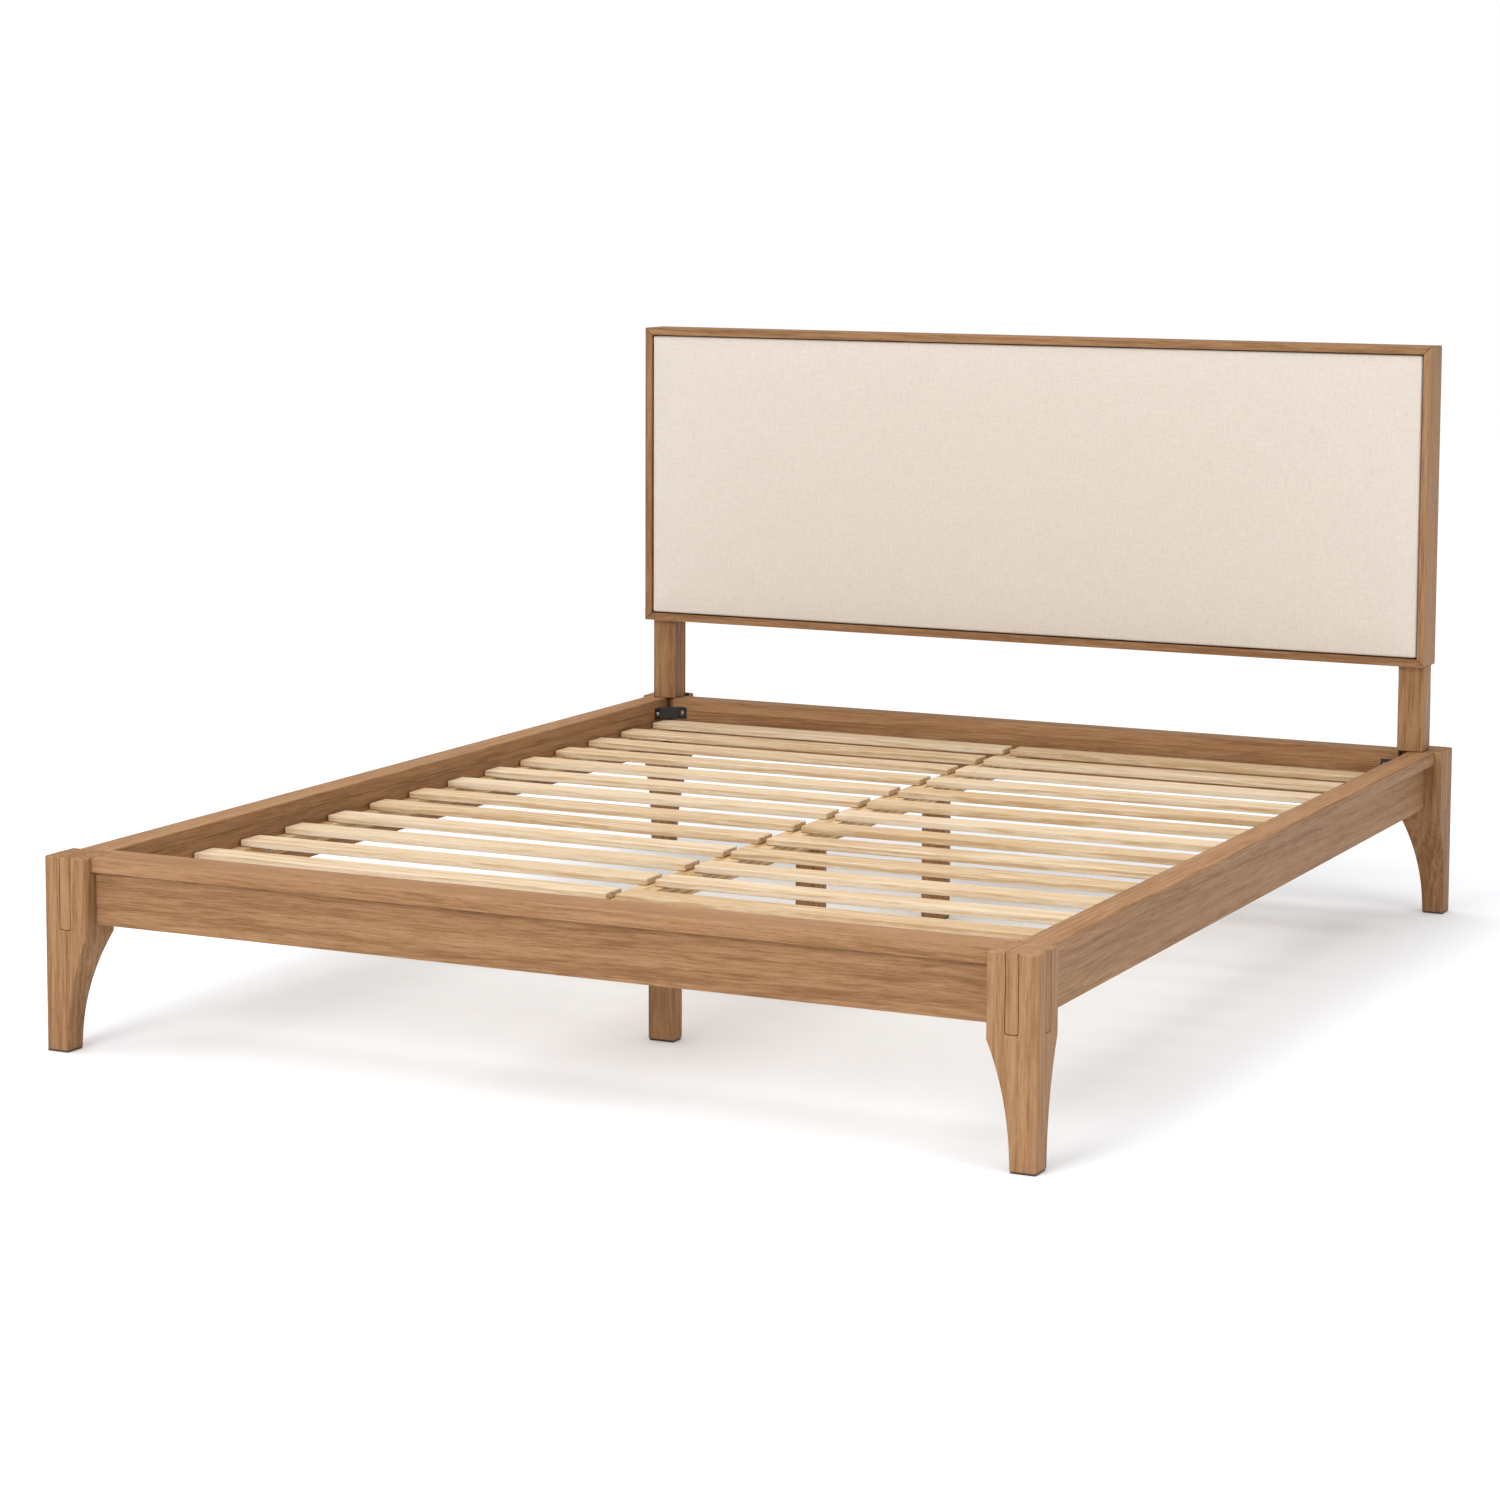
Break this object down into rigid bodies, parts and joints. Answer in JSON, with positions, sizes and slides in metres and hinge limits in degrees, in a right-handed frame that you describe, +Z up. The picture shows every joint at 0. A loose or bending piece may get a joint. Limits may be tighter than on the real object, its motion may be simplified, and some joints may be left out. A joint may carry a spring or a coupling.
{
  "type": "bed frame",
  "caption": "Low wooden bed frame with tapered corner legs, slats on a centre beam and a framed, linen-covered headboard on posts.",
  "frame": {"origin": "on the floor at the centre of the footprint of the four corner legs", "axes": "+X to the right side seen from the foot end, +Y from the foot end towards the headboard, +Z up"},
  "size_m": [1.744, 2.205, 1.112],
  "materials": {
    "frame_wood": "warm mid-brown oak with a satin lacquer",
    "slat_wood": "bare planed pine",
    "ledge_wood": "bare planed pine, yellower than the slats",
    "panel_board": "plain fibreboard",
    "linen": "oatmeal linen weave over foam",
    "black_steel": "black powder coat"
  },
  "bodies": {
    "root": {"leg_front_left": "frame_wood", "leg_front_right": "frame_wood", "leg_rear_left": "frame_wood", "leg_rear_right": "frame_wood", "side_cap_left": "frame_wood", "side_cap_right": "frame_wood", "side_apron_left": "frame_wood", "side_apron_right": "frame_wood", "foot_cap": "frame_wood", "foot_apron": "frame_wood", "head_cap": "frame_wood", "head_apron": "frame_wood", "centre_leg_foot": "frame_wood", "centre_leg_middle": "frame_wood", "centre_leg_head": "frame_wood", "headboard_post_left": "frame_wood", "headboard_post_right": "frame_wood", "headboard_stile_left": "frame_wood", "headboard_stile_right": "frame_wood", "headboard_rail_top": "frame_wood", "headboard_rail_bottom": "frame_wood", "slat_left_01": "slat_wood", "slat_left_02": "slat_wood", "slat_left_03": "slat_wood", "slat_left_04": "slat_wood", "slat_left_05": "slat_wood", "slat_left_06": "slat_wood", "slat_left_07": "slat_wood", "slat_left_08": "slat_wood", "slat_left_09": "slat_wood", "slat_left_10": "slat_wood", "slat_left_11": "slat_wood", "slat_left_12": "slat_wood", "slat_left_13": "slat_wood", "slat_left_14": "slat_wood", "slat_right_01": "slat_wood", "slat_right_02": "slat_wood", "slat_right_03": "slat_wood", "slat_right_04": "slat_wood", "slat_right_05": "slat_wood", "slat_right_06": "slat_wood", "slat_right_07": "slat_wood", "slat_right_08": "slat_wood", "slat_right_09": "slat_wood", "slat_right_10": "slat_wood", "slat_right_11": "slat_wood", "slat_right_12": "slat_wood", "slat_right_13": "slat_wood", "slat_right_14": "slat_wood", "slat_ledge_left": "ledge_wood", "slat_ledge_right": "ledge_wood", "centre_beam": "ledge_wood", "headboard_panel": "panel_board", "headboard_pad": "linen", "corner_bracket_front_left": "black_steel", "corner_bracket_front_right": "black_steel", "corner_bracket_rear_left": "black_steel", "corner_bracket_rear_right": "black_steel", "headboard_strap_left": "black_steel", "headboard_strap_right": "black_steel"}
  },
  "joints": []
}
